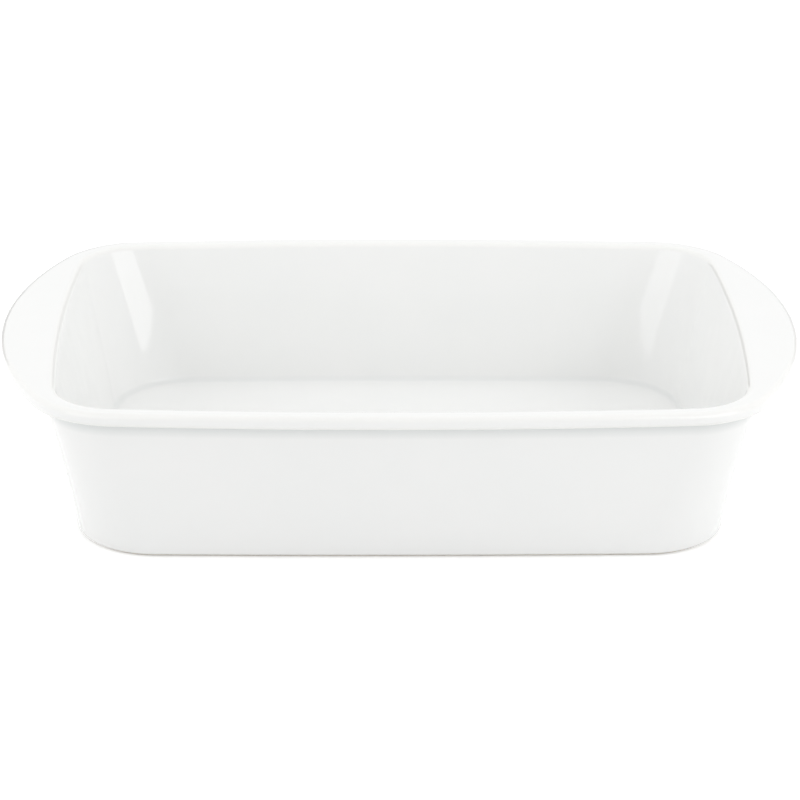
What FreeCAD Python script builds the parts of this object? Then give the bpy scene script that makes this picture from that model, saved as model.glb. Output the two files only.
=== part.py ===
"""Lasagna dish: a cast porcelain baking dish with a rolled rim, two crescent handles and a glaze.

Length runs along X from handle to handle, width along Y, height along Z.
The origin is under the middle of the dish, on the surface that its foot ring stands on.
"""
import FreeCAD
import Part
import Sketcher

import math
import os

# Driving dimensions, in millimetres. The opening is where the bare wall faces would meet the rim's
# top face, before the edge between them is rounded. Every plan outline is eight tangent arcs: two
# bowed ends, two bowed sides and four corners. The rim and the handles reach out from the opening,
# and a handle's arc, carried on, meets the line of the rim's side the tuck short of the opening's end.
DIMENSIONS = {
    "overall_height": 78.1,
    "opening_length": 333.0,
    "opening_width": 233.0,
    "opening_end_radius": 1000.0,
    "opening_side_radius": 2000.0,
    "opening_corner_radius": 30.0,
    "rim_reach": 8.7,
    "rim_corner_ease": 6.5,
    "rim_thickness": 6.9,
    "rim_top_round": 3.0,
    "rim_under_round": 3.0,
    "rim_inner_round": 3.5,
    "rim_neck_round": 1.0,
    "handle_reach": 29.0,
    "handle_tuck": 12.6,
    "wall_thickness": 6.2,
    "wall_base_thickness": 8.8,
    "wall_hollow": 1.0,
    "wall_corner_radius": 31.7,
    "base_corner_radius": 39.2,
    "end_lean": 17.6,
    "side_lean": 16.3,
    "floor_end_radius": 770.0,
    "floor_side_radius": 6300.0,
    "floor_corner_radius": 40.0,
    "floor_height": 6.8,
    "floor_round": 3.5,
    "base_round": 1.5,
    "foot_height": 1.2,
    "foot_inset": 2.0,
    "foot_width": 5.0,
    "foot_round": 0.8,
    "glaze_thickness": 0.4,
}

# The most that each rounding may take of the rim's thickness, and of its reach beyond the wall.
TOP_ROUND_SHARE = 0.5
UNDER_ROUND_SHARE = 0.45
UNDER_REACH_SHARE = 0.62
NECK_REACH_SHARE = 0.2

# An edge lies at a level when it is this close to it.
FLATNESS = 1e-4

doc = FreeCAD.newDocument("LasagnaDish")

sizes = doc.addObject("Spreadsheet::Sheet", "Sizes")
for row, (alias, value) in enumerate(DIMENSIONS.items(), start=1):
    sizes.set(f"A{row}", alias)
    sizes.set(f"B{row}", str(value))
    sizes.setAlias(f"B{row}", alias)
doc.recompute()

# Plan outlines: of the cavity at the rim and at the floor, of the outer wall at the same two ends,
# where only the corners differ, and round the rim with its handles.
OPENING = {
    "length": "Sizes.opening_length",
    "width": "Sizes.opening_width",
    "end_radius": "Sizes.opening_end_radius",
    "side_radius": "Sizes.opening_side_radius",
    "corner_radius": "Sizes.opening_corner_radius",
}
FLOOR = {
    "length": "(Sizes.opening_length - 2 * Sizes.end_lean)",
    "width": "(Sizes.opening_width - 2 * Sizes.side_lean)",
    "end_radius": "Sizes.floor_end_radius",
    "side_radius": "Sizes.floor_side_radius",
    "corner_radius": "Sizes.floor_corner_radius",
}
WALL_TOP = {**OPENING, "corner_radius": "(Sizes.wall_corner_radius - Sizes.wall_thickness)"}
WALL_BASE = {**FLOOR, "corner_radius": "(Sizes.base_corner_radius - Sizes.wall_base_thickness)"}
HANDLE_BOW = "(Sizes.handle_reach + Sizes.handle_tuck)"
RIM_HALF_WIDTH = "(Sizes.opening_width / 2 + Sizes.rim_reach)"
RIM = {
    "length": "(Sizes.opening_length + 2 * Sizes.handle_reach)",
    "width": "(Sizes.opening_width + 2 * Sizes.rim_reach)",
    "end_radius": f"({RIM_HALF_WIDTH}^2 + {HANDLE_BOW}^2) / (2 * {HANDLE_BOW})",
    "side_radius": "(Sizes.opening_side_radius + Sizes.rim_reach)",
    "corner_radius": "(Sizes.opening_corner_radius + Sizes.rim_reach + Sizes.rim_corner_ease)",
}

# How deep a dish shape lies under the glazed surface: not at all, or one glaze thickness.
NO_SKIN = "0"
GLAZE_SKIN = "Sizes.glaze_thickness"

# The foot ring follows the outer wall's base, set in from it.
FOOT_OUTSIDE = "Sizes.wall_base_thickness - Sizes.foot_inset"
FOOT_INSIDE = f"{FOOT_OUTSIDE} - Sizes.foot_width"


def origin_plane(body, role):
    """Return one of the body's own origin planes."""
    return next(feature for feature in body.Origin.OriginFeatures if feature.Role == role)


def corner_centre(end_x, end_reach, side_y, side_reach):
    """Return the point at end_reach from (end_x, 0) and at side_reach from (0, side_y)."""
    apart = math.hypot(end_x, side_y)
    along = (end_reach**2 - side_reach**2 + apart**2) / (2 * apart)
    across = math.sqrt(end_reach**2 - along**2)
    unit_x = -end_x / apart
    unit_y = side_y / apart
    return end_x + unit_x * along - unit_y * across, unit_y * along + unit_x * across


def add_outline(sketch, outline, grow):
    """Draw a plan outline, standing grow outside its nominal line, and bind it to the sizes."""
    end_radius = f"{outline['end_radius']} + {grow}"
    side_radius = f"{outline['side_radius']} + {grow}"
    corner_radius = f"{outline['corner_radius']} + {grow}"
    end_centre = f"{outline['length']} / 2 - {outline['end_radius']}"
    side_centre = f"{outline['width']} / 2 - {outline['side_radius']}"

    end = sizes.evalExpression(end_radius)
    side = sizes.evalExpression(side_radius)
    corner = sizes.evalExpression(corner_radius)
    end_x = sizes.evalExpression(end_centre)
    side_y = sizes.evalExpression(side_centre)
    corner_x, corner_y = corner_centre(end_x, end - corner, side_y, side - corner)
    end_turn = math.atan2(corner_y, corner_x - end_x)
    side_turn = math.atan2(corner_y - side_y, corner_x)

    arcs = [
        (end_x, 0, end),
        (corner_x, corner_y, corner),
        (0, side_y, side),
        (-corner_x, corner_y, corner),
        (-end_x, 0, end),
        (-corner_x, -corner_y, corner),
        (0, -side_y, side),
        (corner_x, -corner_y, corner),
    ]
    half = [-end_turn, end_turn, side_turn, math.pi - side_turn]
    turns = half + [turn + math.pi for turn in half] + [2 * math.pi - end_turn]
    first = sketch.GeometryCount
    for (x, y, radius), start, stop in zip(arcs, turns, turns[1:]):
        circle = Part.Circle(FreeCAD.Vector(x, y, 0), FreeCAD.Vector(0, 0, 1), radius)
        sketch.addGeometry(Part.ArcOfCircle(circle, start, stop))

    start_point, end_point, centre = 1, 2, 3
    x_axis, y_axis = -1, -2
    origin = (x_axis, start_point)
    right, corner_arc, back, left, front = (first + step for step in (0, 1, 2, 4, 6))
    rules = [("Tangent", first + step, end_point, first + (step + 1) % len(arcs), start_point)
             for step in range(len(arcs))]
    rules += [("Equal", corner_arc, corner_arc + step) for step in (2, 4, 6)]
    rules += [
        ("Equal", right, left),
        ("Equal", back, front),
        ("PointOnObject", right, centre, x_axis),
        ("PointOnObject", back, centre, y_axis),
        ("Symmetric", right, centre, left, centre, *origin),
        ("Symmetric", back, centre, front, centre, *origin),
    ]
    for rule in rules:
        sketch.addConstraint(Sketcher.Constraint(*rule))
    dimensions = [
        (("Radius", right, end), end_radius),
        (("Radius", back, side), side_radius),
        (("Radius", corner_arc, corner), corner_radius),
        (("DistanceX", *origin, right, centre, end_x), end_centre),
        (("DistanceY", *origin, back, centre, side_y), side_centre),
    ]
    for rule, expression in dimensions:
        number = sketch.addConstraint(Sketcher.Constraint(*rule))
        sketch.setExpression(f"Constraints[{number}]", expression)


def halfway(low, high):
    """Return the outline halfway between two outlines."""
    return {size: f"({low[size]} + {high[size]}) / 2" for size in low}


def level_sketch(body, name, height, *outlines):
    """Add a sketch at a height, holding one or more outlines given as (outline, grow)."""
    sketch = body.newObject("Sketcher::SketchObject", name)
    sketch.AttachmentSupport = [(origin_plane(body, "XY_Plane"), "")]
    sketch.MapMode = "FlatFace"
    sketch.setExpression("AttachmentOffset.Base.z", height)
    for outline, grow in outlines:
        add_outline(sketch, outline, grow)
    doc.recompute()
    if not sketch.FullyConstrained:
        raise RuntimeError(f"{body.Label}: {name} is not fully constrained")
    return sketch


def add_loft(body, kind, name, sections):
    """Add a smooth loft, additive or subtractive, through the sections from low to high."""
    loft = body.newObject(f"PartDesign::{kind}", name)
    loft.Profile = sections[0]
    loft.Sections = sections[1:]
    doc.recompute()


def add_pad(body, name, sketch, length):
    """Pad a sketch upwards."""
    pad = body.newObject("PartDesign::Pad", name)
    pad.Profile = sketch
    pad.setExpression("Length", length)
    doc.recompute()


def level_loop(shape, height, outermost):
    """Name the edges of the outermost or innermost closed loop that lies flat at a height."""
    level = sizes.evalExpression(height)
    flat = [edge for edge in shape.Edges
            if all(abs(vertex.Z - level) < FLATNESS for vertex in edge.Vertexes)
            and abs(edge.CenterOfMass.z - level) < FLATNESS]
    loops = sorted(Part.sortEdges(flat), key=lambda loop: Part.Wire(loop).BoundBox.XLength)
    chosen = loops[-1] if outermost else loops[0]
    return [f"Edge{number}" for number, edge in enumerate(shape.Edges, start=1)
            if any(edge.isSame(picked) for picked in chosen)]


def add_fillet(body, name, height, outermost, radius):
    """Round the edges of one flat loop of the body's present shape."""
    base = body.Tip
    fillet = body.newObject("PartDesign::Fillet", name)
    fillet.Base = (base, level_loop(base.Shape, height, outermost))
    fillet.setExpression("Radius", radius)
    doc.recompute()


def dish_body(label, skin):
    """Build the dish without its foot, every surface one skin under the glazed surface."""
    body = doc.addObject("PartDesign::Body", label)
    base_level = f"Sizes.foot_height + {skin}"
    floor_level = f"Sizes.floor_height - {skin}"
    top_level = f"Sizes.overall_height - {skin}"
    under_level = f"Sizes.overall_height - Sizes.rim_thickness + {skin}"
    middle_level = "(Sizes.floor_height + Sizes.overall_height) / 2"
    top_outward = f"Sizes.wall_thickness - {skin}"
    base_outward = f"Sizes.wall_base_thickness - {skin}"
    middle_outward = f"({top_outward} + {base_outward}) / 2 - Sizes.wall_hollow"

    # The outer wall leans out from the base to the rim, thins on the way up, and is hollowed
    # slightly halfway up.
    wall_sections = [
        level_sketch(body, "WallBase", base_level, (WALL_BASE, base_outward)),
        level_sketch(body, "WallMiddle", middle_level, (halfway(WALL_BASE, WALL_TOP), middle_outward)),
        level_sketch(body, "WallTop", top_level, (WALL_TOP, top_outward)),
    ]
    add_loft(body, "AdditiveLoft", "OuterWall", wall_sections)

    # The rim stands out all round the wall, and widens into a crescent handle at each end.
    rim_sketch = level_sketch(body, "RimOutline", under_level, (RIM, f"-1 * {skin}"))
    add_pad(body, "Rim", rim_sketch, f"Sizes.rim_thickness - 2 * {skin}")

    # The cavity leans further in towards its floor than the outer wall does.
    cavity_sections = [
        level_sketch(body, "CavityFloor", floor_level, (FLOOR, skin)),
        level_sketch(body, "CavityMiddle", middle_level,
                     (halfway(FLOOR, OPENING), f"{skin} - Sizes.wall_hollow")),
        level_sketch(body, "CavityTop", top_level, (OPENING, skin)),
    ]
    add_loft(body, "SubtractiveLoft", "Cavity", cavity_sections)

    # Under a skin, outside edges lose its depth from their radius and inside corners gain it.
    top_round = f"min(Sizes.rim_top_round; {TOP_ROUND_SHARE} * Sizes.rim_thickness)"
    outer_lean = "(Sizes.side_lean + Sizes.wall_thickness - Sizes.wall_base_thickness)"
    lean_share = "Sizes.rim_thickness / (Sizes.overall_height - Sizes.foot_height)"
    neck_reach = f"(Sizes.rim_reach - Sizes.wall_thickness + {outer_lean} * {lean_share})"
    under_limit = f"min({UNDER_ROUND_SHARE} * Sizes.rim_thickness; {UNDER_REACH_SHARE} * {neck_reach})"
    under_round = f"min(Sizes.rim_under_round; {under_limit})"
    neck_round = f"min(Sizes.rim_neck_round; {NECK_REACH_SHARE} * {neck_reach})"
    add_fillet(body, "FloorRound", floor_level, False, f"Sizes.floor_round + {skin}")
    add_fillet(body, "RimInnerRound", top_level, False, f"Sizes.rim_inner_round - {skin}")
    add_fillet(body, "RimTopRound", top_level, True, f"{top_round} - {skin}")
    add_fillet(body, "RimUnderRound", under_level, True, f"{under_round} - {skin}")
    add_fillet(body, "RimNeckRound", under_level, False, f"{neck_round} + {skin}")
    add_fillet(body, "BaseRound", base_level, True, f"Sizes.base_round - {skin}")
    return body


# Fired clay: the dish inside its glaze, standing on a bare foot ring.
porcelain_body = dish_body("porcelain_body", GLAZE_SKIN)
foot_sketch = level_sketch(
    porcelain_body, "FootRing", "0", (WALL_BASE, FOOT_OUTSIDE), (WALL_BASE, FOOT_INSIDE))
add_pad(porcelain_body, "Foot", foot_sketch, "Sizes.foot_height + Sizes.glaze_thickness")
add_fillet(porcelain_body, "FootOuterRound", "0", True, "Sizes.foot_round")
add_fillet(porcelain_body, "FootInnerRound", "0", False, "Sizes.foot_round")

# Outer limit of the glaze, open underneath where the foot ring and the base panel are.
glazed_form = dish_body("glazed_form", NO_SKIN)
closed_volume = glazed_form.Shape.Volume
glaze_edge = level_sketch(glazed_form, "GlazeEdge", "Sizes.foot_height", (WALL_BASE, FOOT_OUTSIDE))
bare_base = glazed_form.newObject("PartDesign::Pocket", "BareBase")
bare_base.Profile = glaze_edge
bare_base.Reversed = True
bare_base.setExpression("Length", "Sizes.glaze_thickness")
doc.recompute()
if glazed_form.Shape.Volume >= closed_volume:
    raise RuntimeError("the glaze is not opened under the base")

# Glaze coat: one skin over the cavity, the rim, the handles, the walls and the ledge by the foot.
glaze_coat = doc.addObject("Part::Cut", "glaze_coat")
glaze_coat.Base = glazed_form
glaze_coat.Tool = porcelain_body

# Base glaze: the panel of glaze on the underside, inside the wiped foot ring.
base_glaze = doc.addObject("PartDesign::Body", "base_glaze")
panel_sketch = level_sketch(base_glaze, "PanelOutline", "Sizes.foot_height", (WALL_BASE, FOOT_INSIDE))
add_pad(base_glaze, "Panel", panel_sketch, "Sizes.glaze_thickness")
doc.recompute()

pieces = (porcelain_body, glaze_coat, base_glaze)
for item in doc.Objects:
    if "Invalid" in item.State or "Error" in item.State:
        raise RuntimeError(f"{item.Label} failed: {item.State}")
for piece in pieces:
    if piece.Shape.isNull() or not piece.Shape.isValid() or len(piece.Shape.Solids) != 1:
        raise RuntimeError(f"{piece.Label} is not one valid solid")

os.makedirs("parts", exist_ok=True)
for piece in pieces:
    piece.Shape.exportStep(f"parts/{piece.Label}.step")
    print(f"{piece.Label}: {piece.Shape.Volume:.0f} cubic mm")
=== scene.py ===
import math

import bmesh
import bpy
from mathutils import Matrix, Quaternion, Vector


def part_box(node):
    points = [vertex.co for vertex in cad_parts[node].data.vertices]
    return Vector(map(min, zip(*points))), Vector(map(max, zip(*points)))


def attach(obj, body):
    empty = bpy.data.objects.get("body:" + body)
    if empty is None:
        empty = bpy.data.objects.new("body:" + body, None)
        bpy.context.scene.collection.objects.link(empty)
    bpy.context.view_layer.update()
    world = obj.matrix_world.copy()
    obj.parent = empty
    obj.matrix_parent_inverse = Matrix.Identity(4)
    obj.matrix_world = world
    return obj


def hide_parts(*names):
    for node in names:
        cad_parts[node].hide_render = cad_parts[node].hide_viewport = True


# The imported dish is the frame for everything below: metres, +Z up, standing on Z = 0.
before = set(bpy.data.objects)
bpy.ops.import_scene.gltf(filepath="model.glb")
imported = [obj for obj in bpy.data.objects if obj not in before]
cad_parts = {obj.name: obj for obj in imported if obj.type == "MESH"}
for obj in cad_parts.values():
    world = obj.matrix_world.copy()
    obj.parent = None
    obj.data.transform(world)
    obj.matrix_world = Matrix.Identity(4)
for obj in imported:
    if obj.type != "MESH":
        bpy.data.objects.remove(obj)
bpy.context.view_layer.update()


# Porcelain body: the dish itself, cast from white clay in one piece with its rim, its two crescent
# handles and a low foot ring, then fired. Glaze covers all of it but the foot ring, which is wiped
# bare so that it doesn't stick to the kiln shelf.
glaze_low, glaze_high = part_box("glaze_coat")
clay_low, clay_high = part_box("porcelain_body")
glaze_thickness = glaze_high.z - clay_high.z
foot_height = glaze_low.z
rim_level = glaze_high.z
floor_level = 0.0068
wall_thickness = 0.0062
wall_base_thickness = 0.0088
wall_hollow = 0.001
rim_thickness = 0.0069
rim_inner_round = 0.0035
rim_top_round = 0.003
rim_under_round = 0.00231
rim_neck_round = 0.00075
floor_round = 0.0035
base_round = 0.0015
foot_inset = 0.002
foot_width = 0.005
foot_round = 0.0008

# Plan outlines of the cavity's mouth and floor, of the outer wall at the same two ends, where only
# the corners differ, and round the rim with its handles.
mouth_plan = {"length": 0.333, "width": 0.233, "end_radius": 1.0, "side_radius": 2.0,
              "corner_radius": 0.030}
end_lean = 0.0176
side_lean = 0.0163
floor_plan = {"length": mouth_plan["length"] - 2 * end_lean,
              "width": mouth_plan["width"] - 2 * side_lean,
              "end_radius": 0.770, "side_radius": 6.3, "corner_radius": 0.040}
wall_corner_radius = 0.0317
base_corner_radius = 0.0392
wall_top_plan = dict(mouth_plan, corner_radius=wall_corner_radius - wall_thickness)
wall_base_plan = dict(floor_plan, corner_radius=base_corner_radius - wall_base_thickness)
rim_length = glaze_high.x - glaze_low.x
rim_width = glaze_high.y - glaze_low.y
rim_reach = (rim_width - mouth_plan["width"]) / 2
rim_corner_ease = 0.0065
handle_tuck = 0.0126
handle_bow = (rim_length - mouth_plan["length"]) / 2 + handle_tuck
rim_plan = {"length": rim_length, "width": rim_width,
            "end_radius": ((rim_width / 2) ** 2 + handle_bow**2) / (2 * handle_bow),
            "side_radius": mouth_plan["side_radius"] + rim_reach,
            "corner_radius": mouth_plan["corner_radius"] + rim_reach + rim_corner_ease}

# Points along each end, corner and side of an outline, and rings over each part of the surface.
end_points = 36
corner_points = 24
side_points = 60
round_steps = 10
wall_steps = 12
rim_top_steps = 4
rim_face_steps = 2
rim_under_steps = 4

# Depth of the pooled glaze and painted shade along the edge of the cavity's floor, where the pool
# with painted shade below the rim is 1.
floor_pool_and_shade = 0.4


def plan_line(plan, grow=0.0):
    """Points and outward normals round a plan of eight tangent arcs, standing grow outside it."""
    end_radius = plan["end_radius"] + grow
    side_radius = plan["side_radius"] + grow
    corner_radius = plan["corner_radius"] + grow
    end_x = plan["length"] / 2 - plan["end_radius"]
    side_y = plan["width"] / 2 - plan["side_radius"]
    end_reach = end_radius - corner_radius
    side_reach = side_radius - corner_radius
    apart = math.hypot(end_x, side_y)
    along = (end_reach**2 - side_reach**2 + apart**2) / (2 * apart)
    across = math.sqrt(end_reach**2 - along**2)
    corner_x = end_x - (end_x * along + side_y * across) / apart
    corner_y = (side_y * along - end_x * across) / apart
    end_turn = math.atan2(corner_y, corner_x - end_x)
    side_turn = math.atan2(corner_y - side_y, corner_x)
    half = [
        (end_x, 0.0, end_radius, -end_turn, end_turn, end_points),
        (corner_x, corner_y, corner_radius, end_turn, side_turn, corner_points),
        (0.0, side_y, side_radius, side_turn, math.pi - side_turn, side_points),
        (-corner_x, corner_y, corner_radius,
         math.pi - side_turn, math.pi - end_turn, corner_points),
    ]
    line = []
    for side in (1, -1):
        for x, y, radius, start, stop, points in half:
            for step in range(points):
                turn = start + (stop - start) * step / points
                normal = side * Vector((math.cos(turn), math.sin(turn), 0.0))
                line.append((side * Vector((x, y, 0.0)) + radius * normal, normal))
    return line


def level_ring(line, level, grow=0.0):
    """A ring of points along a line, at a level, with no pooled glaze or painted shade on it."""
    return [point + grow * normal + Vector((0, 0, level)) for point, normal in line], 0.0


def wall_line(low, high, height_share):
    """The line of a leaning, slightly hollow wall, part of the way up between two lines."""
    hollow = wall_hollow * 4 * height_share * (1 - height_share)
    line = []
    for (low_point, low_normal), (high_point, high_normal) in zip(low, high):
        normal = low_normal.lerp(high_normal, height_share).normalized()
        line.append((low_point.lerp(high_point, height_share) - hollow * normal, normal))
    return line


def wall_leans(low, high, rise, height_share):
    """How far the wall leans out from upright, at each of its points, part of the way up."""
    sway = wall_hollow * 4 * (1 - 2 * height_share)
    return [math.atan(((high_point - low_point).dot(low_normal) - sway) / rise)
            for (low_point, low_normal), (high_point, high_normal) in zip(low, high)]


def rounding(line, level, radius, leans, out, up, from_wall):
    """Rings over the rounded edge between a level face and a wall that leans out from upright.

    out and up are 1 or -1 and turn the edge over. Each ring carries a weight, most in the edge's
    middle, for pooled glaze with painted shade, turned negative for thin glaze.
    """
    shares = [step / round_steps for step in range(round_steps + 1)]
    rings = []
    for share in reversed(shares) if from_wall else shares:
        points = []
        for (point, normal), lean in zip(line, leans):
            turn = math.pi / 2 - lean
            outward = radius * (math.sin(share * turn) - math.tan(turn / 2))
            upward = radius * (1 - math.cos(share * turn))
            points.append(point + out * outward * normal + Vector((0, 0, level + up * upward)))
        rings.append((points, math.sin(math.pi * share)))
    return rings


def thinned(rings):
    """The same rings with the glaze drawn thin on them instead of pooled."""
    return [(points, -pool_and_shade) for points, pool_and_shade in rings]


def full_pool_and_shade(rings):
    """The same rings with pooled glaze and painted shade at full depth from their middle on, to fade
    further down.
    """
    middle = len(rings) // 2
    return rings[:middle] + [(points, 1.0) for points, pool_and_shade in rings[middle:]]


def shallow_pool_and_shade(rings):
    """The same rings with only a shallow pool of glaze and a little painted shade on them."""
    return [(points, floor_pool_and_shade * pool_and_shade) for points, pool_and_shade in rings]


def between(first, last, steps):
    """Rings spaced evenly between two rings, without these two."""
    return [([start.lerp(stop, step / steps) for start, stop in zip(first[0], last[0])], 0.0)
            for step in range(1, steps)]


def dish_rings(skin):
    """Rings from the cavity's floor, over the rim, to the base, one skin under the surface."""
    upright = [0.0] * (2 * end_points + 4 * corner_points + 2 * side_points)
    floor_line = plan_line(floor_plan, skin)
    mouth_line = plan_line(mouth_plan, skin)
    rim_line = plan_line(rim_plan, -skin)
    base_line = plan_line(wall_base_plan, wall_base_thickness - skin)
    neck_top_line = plan_line(wall_top_plan, wall_thickness - skin)
    inner_floor = floor_level - skin
    top = rim_level - skin
    under = rim_level - rim_thickness + skin
    base = foot_height + skin
    inner_rise = top - inner_floor
    outer_rise = top - base
    neck_share = (under - base) / outer_rise

    # The floor's edge gets a shallow pool of glaze with painted shade in its crease; the rim's edges
    # and the base edge get thin glaze.
    floor_edge = shallow_pool_and_shade(rounding(floor_line, inner_floor, floor_round + skin,
                                  wall_leans(floor_line, mouth_line, inner_rise, 0), 1, 1, False))
    mouth_edge = thinned(rounding(mouth_line, top, rim_inner_round - skin,
                                  wall_leans(floor_line, mouth_line, inner_rise, 1), -1, -1, True))
    rim_edge = thinned(rounding(rim_line, top, rim_top_round - skin, upright, 1, -1, False))
    under_edge = thinned(rounding(rim_line, under, rim_under_round - skin, upright, 1, 1, True))
    neck_line = wall_line(base_line, neck_top_line, neck_share)
    neck_leans = wall_leans(base_line, neck_top_line, outer_rise, neck_share)
    # Below the rim's neck: pooled glaze with painted shade, where the rim keeps the light off the
    # wall.
    neck_edge = full_pool_and_shade(rounding(neck_line, under, rim_neck_round + skin, neck_leans, -1, -1, False))
    base_edge = thinned(rounding(base_line, base, base_round - skin,
                                 wall_leans(base_line, neck_top_line, outer_rise, 0), 1, 1, True))

    def wall_rings(low, high, low_level, rise, first, last):
        """Rings up or down a wall, between the edges that end it."""
        rings = []
        for step in range(1, wall_steps):
            level = first[0][0].z + (last[0][0].z - first[0][0].z) * step / wall_steps
            rings.append(level_ring(wall_line(low, high, (level - low_level) / rise), level))
        return rings

    flat_floor = [level_ring(floor_line, inner_floor, -3 * floor_round),
                  level_ring(floor_line, inner_floor, -1.5 * floor_round)]
    return (
        flat_floor + floor_edge
        + wall_rings(floor_line, mouth_line, inner_floor, inner_rise, floor_edge[-1], mouth_edge[0])
        + mouth_edge + between(mouth_edge[-1], rim_edge[0], rim_top_steps)
        + rim_edge + between(rim_edge[-1], under_edge[0], rim_face_steps)
        + under_edge + between(under_edge[-1], neck_edge[0], rim_under_steps)
        + neck_edge
        + wall_rings(base_line, neck_top_line, base, outer_rise, neck_edge[-1], base_edge[0])
        + base_edge
    )


def model_rings(name, rings):
    """Fill the first ring, extrude its edge out to each next one, and leave the last selected."""
    bpy.ops.object.select_all(action="DESELECT")
    bpy.ops.mesh.primitive_circle_add(vertices=len(rings[0][0]), fill_type="NGON")
    piece = bpy.context.object
    piece.name = name
    place = piece.data.attributes.new("place", "INT", "POINT")
    place.data.foreach_set("value", range(len(rings[0][0])))
    # Weight of pooled glaze with painted shade at each point, negative where the glaze is thin.
    piece.data.attributes.new("pool_and_shade", "FLOAT", "POINT")
    bpy.ops.object.mode_set(mode="EDIT")
    bpy.ops.mesh.select_all(action="SELECT")
    for number, (points, pool_and_shade) in enumerate(rings):
        if number > 0:
            bpy.ops.mesh.extrude_edges_indiv()
        edit = bmesh.from_edit_mesh(piece.data)
        place = edit.verts.layers.int["place"]
        pool_and_shade_layer = edit.verts.layers.float["pool_and_shade"]
        for vertex in edit.verts:
            if vertex.select:
                vertex.co = points[vertex[place]]
                vertex[pool_and_shade_layer] = pool_and_shade
        bmesh.update_edit_mesh(piece.data)
    return piece


sharp_angle = math.radians(40)


def finish_mesh(piece):
    """Turn all faces outwards, leave edit mode and shade all but the sharp edges smooth."""
    bpy.ops.mesh.select_all(action="SELECT")
    bpy.ops.mesh.normals_make_consistent(inside=False)
    bpy.ops.object.mode_set(mode="OBJECT")
    piece.data.attributes.remove(piece.data.attributes["place"])
    bpy.ops.object.shade_smooth_by_angle(angle=sharp_angle)


foot_level = clay_low.z
underside_level = foot_height + glaze_thickness
foot_outer_line = plan_line(wall_base_plan, wall_base_thickness - foot_inset)
foot_inner_line = plan_line(wall_base_plan, wall_base_thickness - foot_inset - foot_width)
foot_upright = [0.0] * len(foot_outer_line)
foot_outer_edge = rounding(foot_outer_line, foot_level, foot_round, foot_upright, 1, 1, True)
foot_inner_edge = rounding(foot_inner_line, foot_level, foot_round, foot_upright, -1, 1, False)
foot_rings = (
    [level_ring(foot_outer_line, underside_level)]
    + foot_outer_edge + foot_inner_edge
    + [level_ring(foot_inner_line, underside_level),
       level_ring(foot_inner_line, underside_level, -foot_width)]
)
clay = model_rings("porcelain_casting", dish_rings(glaze_thickness) + foot_rings)
bpy.ops.mesh.edge_face_add()
finish_mesh(clay)


def linear(hex_colour):
    """Turn an sRGB hex colour into linear RGBA."""
    shares = [int(hex_colour[place:place + 2], 16) / 255 for place in (1, 3, 5)]
    return [share / 12.92 if share <= 0.04045 else ((share + 0.055) / 1.055) ** 2.4
            for share in shares] + [1.0]


def add_node(tree, kind, settings, links):
    """Add a node, set its inputs or properties by name or number, and link its inputs."""
    node = tree.nodes.new(kind)
    for name, value in settings.items():
        if isinstance(name, int) or name in node.inputs:
            node.inputs[name].default_value = value
        else:
            setattr(node, name, value)
    for name, output in links.items():
        tree.links.new(output, node.inputs[name])
    return node


# Bare fired porcelain: a dense, matt, warm white with a fine sandy grit, and grey rub marks
# where the foot has been pushed about on oven shelves.
bisque = bpy.data.materials.new("bare_fired_porcelain")
bisque.use_nodes = True
tree = bisque.node_tree
surface = tree.nodes["Principled BSDF"]
where = add_node(tree, "ShaderNodeTexCoord", {}, {})
grit_size = 0.0006
rub_size = 0.009
grit = add_node(tree, "ShaderNodeTexNoise",
                {"Scale": 1 / grit_size, "Detail": 3.0, "Roughness": 0.6},
                {"Vector": where.outputs["Object"]})
rubs = add_node(tree, "ShaderNodeTexNoise",
                {"Scale": 1 / rub_size, "Detail": 5.0, "Roughness": 0.7, "Distortion": 1.5},
                {"Vector": where.outputs["Object"]})
rub_mask = add_node(tree, "ShaderNodeMapRange",
                    {"From Min": 0.55, "From Max": 0.75, "To Min": 0.0, "To Max": 0.55},
                    {"Value": rubs.outputs["Fac"]})
clay_tone = add_node(tree, "ShaderNodeMix",
                     {"data_type": "RGBA", 6: linear("#E3DDD1"), 7: linear("#F0ECE3")},
                     {0: grit.outputs["Fac"]})
rubbed_tone = add_node(tree, "ShaderNodeMix", {"data_type": "RGBA", 7: linear("#A9A59E")},
                       {0: rub_mask.outputs["Result"], 6: clay_tone.outputs[2]})
grit_bump = add_node(tree, "ShaderNodeBump", {"Strength": 0.6, "Distance": 0.00006},
                     {"Height": grit.outputs["Fac"]})
tree.links.new(rubbed_tone.outputs[2], surface.inputs["Base Color"])
tree.links.new(grit_bump.outputs["Normal"], surface.inputs["Normal"])
surface.inputs["Roughness"].default_value = 0.78
clay.data.materials.append(bisque)
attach(clay, "root")
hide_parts("porcelain_body")


# Glaze coat: the clear glassy skin that is sprayed over the whole dish and melts on to it in the
# kiln. It stops in a soft edge on the ledge beside the foot ring.
coat_end = level_ring(foot_outer_line, foot_height)
coat = model_rings("glaze_skin", dish_rings(0.0) + [coat_end])
bpy.ops.mesh.select_all(action="SELECT")
finish_mesh(coat)
skin = coat.modifiers.new("skin", "SOLIDIFY")
skin.thickness = glaze_thickness
skin.offset = -1.0
skin.use_even_offset = True
bpy.ops.object.modifier_apply(modifier=skin.name)

# Gloss glaze on white porcelain: a neutral, faintly green white that reflects like glass, thins to
# the warmer clay over the edges, and ripples a little like water. Its tone is painted greyer in the
# hollows and most of all below the rim: partly glaze that pools there, partly painted shade.
glaze = bpy.data.materials.new("gloss_white_glaze")
glaze.use_nodes = True
tree = glaze.node_tree
surface = tree.nodes["Principled BSDF"]
where = add_node(tree, "ShaderNodeTexCoord", {}, {})
ripple_size = 0.022
peel_size = 0.0016
mottle_size = 0.035
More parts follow.
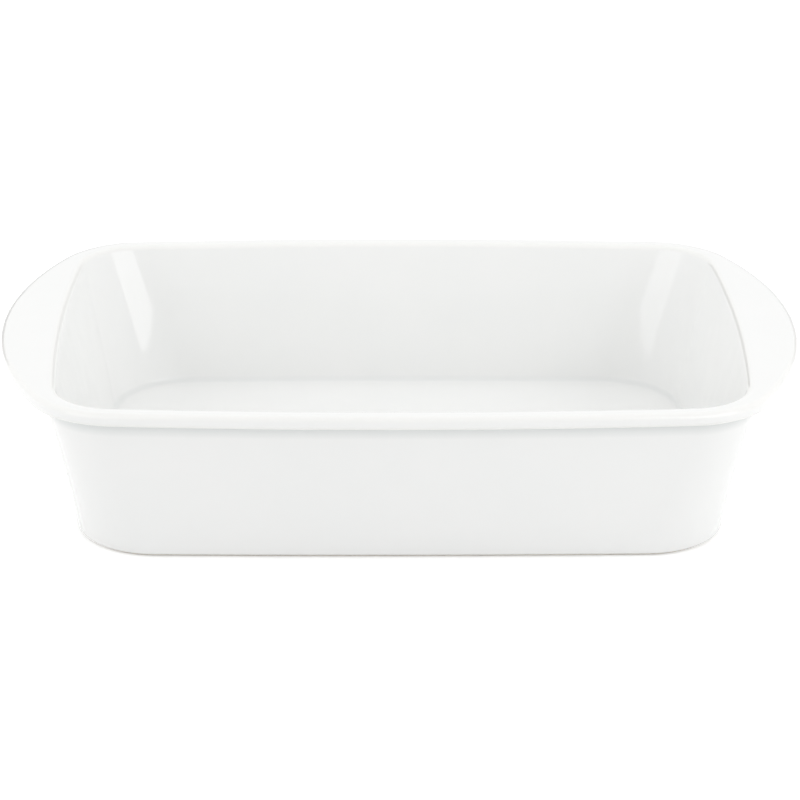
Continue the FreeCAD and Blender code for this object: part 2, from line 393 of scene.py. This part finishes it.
# Weight of pooled glaze with painted shade, negative where the glaze runs thin.
pool_and_shade = add_node(tree, "ShaderNodeAttribute", {"attribute_name": "pool_and_shade"}, {})
mottle = add_node(tree, "ShaderNodeTexNoise", {"Scale": 1 / mottle_size, "Detail": 3.0},
                  {"Vector": where.outputs["Object"]})
melt_tone = add_node(tree, "ShaderNodeMix",
                     {"data_type": "RGBA", 6: linear("#F1F2F1"), 7: linear("#F4F4F3")},
                     {0: mottle.outputs["Fac"]})
pool_and_shade_mask = add_node(tree, "ShaderNodeMapRange",
                     {"From Min": 0.0, "From Max": 1.0, "To Min": 0.0, "To Max": 1.0},
                     {"Value": pool_and_shade.outputs["Fac"]})
thin_mask = add_node(tree, "ShaderNodeMapRange",
                     {"From Min": 0.0, "From Max": -1.0, "To Min": 0.0, "To Max": 0.4},
                     {"Value": pool_and_shade.outputs["Fac"]})
# Greyer tone below the rim and along the floor's edge: partly pooled glaze, partly painted shade.
pool_and_shade_tone = add_node(tree, "ShaderNodeMix", {"data_type": "RGBA", 7: linear("#DFE2E1")},
                     {0: pool_and_shade_mask.outputs["Result"], 6: melt_tone.outputs[2]})
thin_tone = add_node(tree, "ShaderNodeMix", {"data_type": "RGBA", 7: linear("#F3F2EE")},
                     {0: thin_mask.outputs["Result"], 6: pool_and_shade_tone.outputs[2]})
sheen_spread = add_node(tree, "ShaderNodeMapRange",
                        {"From Min": 0.3, "From Max": 0.7, "To Min": 0.04, "To Max": 0.08},
                        {"Value": mottle.outputs["Fac"]})
ripple = add_node(tree, "ShaderNodeTexNoise", {"Scale": 1 / ripple_size, "Detail": 1.0},
                  {"Vector": where.outputs["Object"]})
peel = add_node(tree, "ShaderNodeTexNoise", {"Scale": 1 / peel_size, "Detail": 1.0},
                {"Vector": where.outputs["Object"]})
peel_bump = add_node(tree, "ShaderNodeBump", {"Strength": 1.0, "Distance": 0.000003},
                     {"Height": peel.outputs["Fac"]})
ripple_bump = add_node(tree, "ShaderNodeBump", {"Strength": 1.0, "Distance": 0.00012},
                       {"Height": ripple.outputs["Fac"], "Normal": peel_bump.outputs["Normal"]})
tree.links.new(thin_tone.outputs[2], surface.inputs["Base Color"])
tree.links.new(sheen_spread.outputs["Result"], surface.inputs["Roughness"])
tree.links.new(ripple_bump.outputs["Normal"], surface.inputs["Normal"])
surface.inputs["IOR"].default_value = 1.5
coat.data.materials.append(glaze)
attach(coat, "root")
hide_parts("glaze_coat")


# Base glaze: the panel of glaze under the dish, inside the bare foot ring, where the same spray
# reached. It creeps a little way down the inside of the foot ring.
panel_low, panel_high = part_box("base_glaze")
creep = 0.0003
panel_rings = [
    level_ring(foot_inner_line, panel_low.z, -foot_width),
    level_ring(foot_inner_line, panel_low.z, -2 * creep),
    level_ring(foot_inner_line, panel_low.z - creep),
    level_ring(foot_inner_line, panel_high.z),
    level_ring(foot_inner_line, panel_high.z, -foot_width),
]
panel = model_rings("underside_glaze", panel_rings)
bpy.ops.mesh.edge_face_add()
finish_mesh(panel)
panel.data.materials.append(glaze)
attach(panel, "root")
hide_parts("base_glaze")


# Floor: a plain white sweep. It stays white to the camera and in the glaze's reflections,
# and still darkens where the dish keeps the light off it.
floor_half = 4.0
bpy.ops.object.select_all(action="DESELECT")
bpy.ops.mesh.primitive_plane_add(size=2 * floor_half, location=(0, 0, 0))
sweep = bpy.context.object
sweep.name = "studio_floor"
paper = bpy.data.materials.new("white_paper_sweep")
paper.use_nodes = True
tree = paper.node_tree
surface = tree.nodes["Principled BSDF"]
surface.inputs["Base Color"].default_value = linear("#F2F2F2")
surface.inputs["Roughness"].default_value = 0.9
ray = add_node(tree, "ShaderNodeLightPath", {}, {})
seen = add_node(tree, "ShaderNodeMath", {"operation": "MAXIMUM"},
                {0: ray.outputs["Is Camera Ray"], 1: ray.outputs["Is Glossy Ray"]})
seen_through = add_node(tree, "ShaderNodeMath", {"operation": "MAXIMUM"},
                        {0: seen.outputs[0], 1: ray.outputs["Is Transmission Ray"]})
paper_lift = 0.3
lift = add_node(tree, "ShaderNodeMath", {"operation": "MULTIPLY", 1: paper_lift},
                {0: seen_through.outputs[0]})
surface.inputs["Emission Color"].default_value = linear("#FFFFFF")
tree.links.new(lift.outputs[0], surface.inputs["Emission Strength"])
sweep.data.materials.append(paper)


# Studio light: a white room, which the glaze mirrors, with soft boxes overhead, in front and behind,
# and a soft panel at each end. Two tall lamps, left and right of the camera, only show in the
# glaze, as upright strips in the rounded back corners of the cavity.
world = bpy.data.worlds.new("white_studio")
bpy.context.scene.world = world
world.use_nodes = True
tree = world.node_tree
room = tree.nodes["Background"]
room_level = 0.7
ray = add_node(tree, "ShaderNodeLightPath", {}, {})
mirrored = add_node(tree, "ShaderNodeMath", {"operation": "MAXIMUM"},
                    {0: ray.outputs["Is Camera Ray"], 1: ray.outputs["Is Glossy Ray"]})
shown = add_node(tree, "ShaderNodeMath", {"operation": "MAXIMUM"},
                 {0: mirrored.outputs[0], 1: ray.outputs["Is Transmission Ray"]})
seen = add_node(tree, "ShaderNodeMapRange", {"To Min": room_level, "To Max": 1.0},
                {"Value": shown.outputs[0]})
room.inputs["Color"].default_value = linear("#FFFFFF")
tree.links.new(seen.outputs["Result"], room.inputs["Strength"])


def hang_lamp(name, length, width, place, watts):
    """Hang a rectangular soft lamp at a place and turn it to the middle of the dish."""
    bpy.ops.object.light_add(type="AREA", location=place)
    lamp = bpy.context.object
    lamp.name = name
    lamp.rotation_euler = (-Vector(place)).to_track_quat("-Z", "Y").to_euler()
    lamp.data.shape = "RECTANGLE"
    lamp.data.size = length
    lamp.data.size_y = width
    lamp.data.energy = watts
    lamp.visible_camera = False
    lamp.visible_glossy = False


hang_lamp("overhead_softbox", 1.8, 1.3, (0.0, 0.1, 1.5), 3.0)
hang_lamp("front_softbox", 1.6, 0.6, (0.0, -0.85, 1.3), 0.8)
hang_lamp("right_front_softbox", 0.7, 0.6, (0.75, -1.06, 0.75), 1.7)
hang_lamp("back_softbox", 1.8, 0.6, (0.0, 1.3, 0.9), 2.0)
for side, panel_watts, strip_watts in ((-1, 6.5, 3.6), (1, 5.5, 6.0)):
    hang_lamp("side_panel", 1.6, 1.3, (side * 1.4, -0.2, 0.72), panel_watts)
    hang_lamp("corner_strip", 1.2, 0.85, (side * 0.84, -1.0, 0.5), strip_watts)
    bpy.context.object.visible_glossy = True
    bpy.context.object.visible_diffuse = False


# Flags: two cards that stand far behind the dish, a black one on the left and a grey one on the
# right, out of the picture. They only show in the glaze, as fine dark lines along the rounded edges
# of the mouth and the handles.
flag_width = 1.35
flag_height = 0.58
flag_inner_edge = 0.28
flag_distance = 1.88
flag_middle = 0.31
for side, card_tone in ((-1, "#1C1C1C"), (1, "#C4C4C4")):
    bpy.ops.object.select_all(action="DESELECT")
    bpy.ops.mesh.primitive_plane_add(size=1.0)
    flag = bpy.context.object
    flag.name = "flag"
    bpy.ops.transform.resize(value=(flag_width, flag_height, 1.0))
    bpy.ops.transform.rotate(value=math.radians(90), orient_axis="X",
                             center_override=(0.0, 0.0, 0.0))
    flag_aside = flag_inner_edge + flag_width / 2
    bpy.ops.transform.translate(value=(side * flag_aside, flag_distance, flag_middle))
    bpy.ops.object.transform_apply(location=True, rotation=True, scale=True)
    card = bpy.data.materials.new("matt_card")
    card.use_nodes = True
    surface = card.node_tree.nodes["Principled BSDF"]
    surface.inputs["Base Color"].default_value = linear(card_tone)
    surface.inputs["Roughness"].default_value = 0.9
    flag.data.materials.append(card)
    flag.visible_camera = False
    flag.visible_diffuse = False
    flag.visible_shadow = False


# Camera: a long lens looking down on the long side of the dish.
view_target = Vector((0.00032, -0.01417, rim_level - 0.03619))
view_distance = 1.6
view_elevation = math.radians(22.077)
view_azimuth = math.radians(-0.889)
view_roll = math.radians(0.278)
back = Vector((math.sin(view_azimuth) * math.cos(view_elevation),
               -math.cos(view_azimuth) * math.cos(view_elevation),
               math.sin(view_elevation)))
bpy.ops.object.camera_add(location=view_target + view_distance * back)
camera = bpy.context.object
camera.rotation_mode = "QUATERNION"
camera.rotation_quaternion = (-back).to_track_quat("-Z", "Y") @ Quaternion((0, 0, 1), view_roll)
camera.data.sensor_width = 36.0
camera.data.lens = 145.98
bpy.context.scene.camera = camera

bpy.context.scene.view_settings.view_transform = "Standard"
